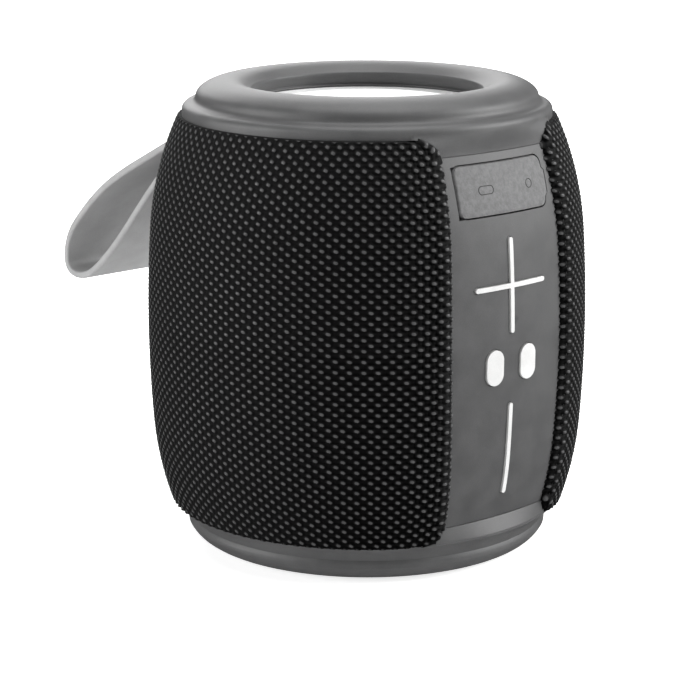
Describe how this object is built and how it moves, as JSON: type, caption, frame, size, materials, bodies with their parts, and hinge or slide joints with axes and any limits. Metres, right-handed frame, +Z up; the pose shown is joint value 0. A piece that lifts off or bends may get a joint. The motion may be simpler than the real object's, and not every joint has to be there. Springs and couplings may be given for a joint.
{
  "type": "portable shower speaker",
  "caption": "Barrel-shaped portable speaker with a woven cover, a front control strip with a socket flap, a passive radiator on top and a rubber carrying loop.",
  "frame": {"origin": "middle of the base, on the standing face", "axes": "+Z up, the control panel faces -Y, the carrying loop is on the +Y side"},
  "size_m": [0.096, 0.1417, 0.1015],
  "materials": {
    "housing": "moulded black",
    "woven_cover": "woven, slight sheen",
    "panel": "fine grain, satin",
    "seal": "matt",
    "flap_rubber": "matt, mottled",
    "white_key": "satin white",
    "switch": "satin",
    "board": "solder mask",
    "chip": "moulded",
    "can": "drawn",
    "lens": "clear",
    "connector": "natural",
    "screw": "zinc plated",
    "socket_shell": "stamped",
    "cap": "satin grey",
    "roll_rubber": "matt",
    "white_disc": "satin white",
    "basket": "black",
    "steel": "plain",
    "magnet": "ferrite grey",
    "copper": "enamelled copper winding",
    "cone": "pressed pulp",
    "spider": "treated cloth",
    "cell": "sleeved",
    "lead": "insulated wire",
    "strap_rubber": "satin silicone"
  },
  "bodies": {
    "speaker": {"front_housing": "housing", "rear_housing": "housing", "fabric_wrap": "woven_cover", "control_panel": "panel", "panel_gasket": "seal", "tact_switches": "switch", "main_board": "board", "board_screws": "screw", "bluetooth_module": "chip", "amplifier_chip": "chip", "capacitors": "can", "status_led": "lens", "battery_plug": "connector", "driver_plug": "connector", "port_board": "board", "port_board_screws": "screw", "link_header": "connector", "usb_socket": "socket_shell", "charging_socket": "socket_shell", "top_cap": "cap", "radiator_frame": "housing", "radiator_surround": "roll_rubber", "cap_screws": "screw", "bottom_cap": "cap", "rubber_foot": "seal", "base_gasket": "seal", "base_screws": "screw", "driver_gasket": "seal", "driver_basket": "basket", "driver_screws": "screw", "driver_top_plate": "steel", "driver_magnet": "magnet", "driver_pole_piece": "steel", "driver_surround": "roll_rubber", "driver_spider": "spider", "driver_terminal": "board", "battery_cell": "cell", "battery_holder": "housing", "battery_contacts": "steel", "holder_screws": "screw", "battery_leads": "lead", "driver_leads": "lead", "strap_pin": "steel", "strap_bracket": "housing", "bracket_screws": "screw"},
    "flap": {"port_cover": "flap_rubber"},
    "volume_up": {"volume_up_button": "white_key", "volume_up_plunger": "seal"},
    "volume_down": {"volume_down_button": "white_key", "volume_down_plunger": "seal"},
    "power": {"power_button": "white_key", "power_plunger": "seal"},
    "play": {"play_button": "white_key", "play_plunger": "seal"},
    "cone": {"driver_cone": "cone", "dust_cap": "cone", "voice_coil": "copper"},
    "radiator": {"radiator_diaphragm": "white_disc", "radiator_weight": "screw"},
    "strap": {"strap": "strap_rubber"}
  },
  "joints": [
    {"name": "port_cover_hinge", "type": "hinge", "parent": "speaker", "child": "flap", "pos_m": [-0.0119, -0.03979, 0.08305], "axis": [0, -0.2662, -0.9639], "range_deg": [0, 90], "stiffness_Nm_per_rad": 0.0006},
    {"name": "volume_up_press", "type": "slide", "parent": "speaker", "child": "volume_up", "axis": [0, 1, 0], "range_m": [0, 0.0004], "stiffness_N_per_m": 1500},
    {"name": "volume_down_press", "type": "slide", "parent": "speaker", "child": "volume_down", "axis": [0, 1, 0], "range_m": [0, 0.0004], "stiffness_N_per_m": 1500},
    {"name": "power_press", "type": "slide", "parent": "speaker", "child": "power", "axis": [0, 1, 0], "range_m": [0, 0.0004], "stiffness_N_per_m": 1500},
    {"name": "play_press", "type": "slide", "parent": "speaker", "child": "play", "axis": [0, 1, 0], "range_m": [0, 0.0004], "stiffness_N_per_m": 1500},
    {"name": "cone_stroke", "type": "slide", "parent": "speaker", "child": "cone", "axis": [0, 1, 0], "range_m": [-0.0012, 0.0012], "stiffness_N_per_m": 1200, "deforming": ["driver_surround", "driver_spider"]},
    {"name": "radiator_stroke", "type": "slide", "parent": "speaker", "child": "radiator", "axis": [0, 0, 1], "range_m": [-0.0015, 0.0015], "stiffness_N_per_m": 1500, "deforming": ["radiator_surround"]},
    {"name": "strap_swing", "type": "hinge", "parent": "speaker", "child": "strap", "pos_m": [0, 0.04764, 0.0842], "axis": [1, 0, 0], "range_deg": [-38, 125]}
  ]
}
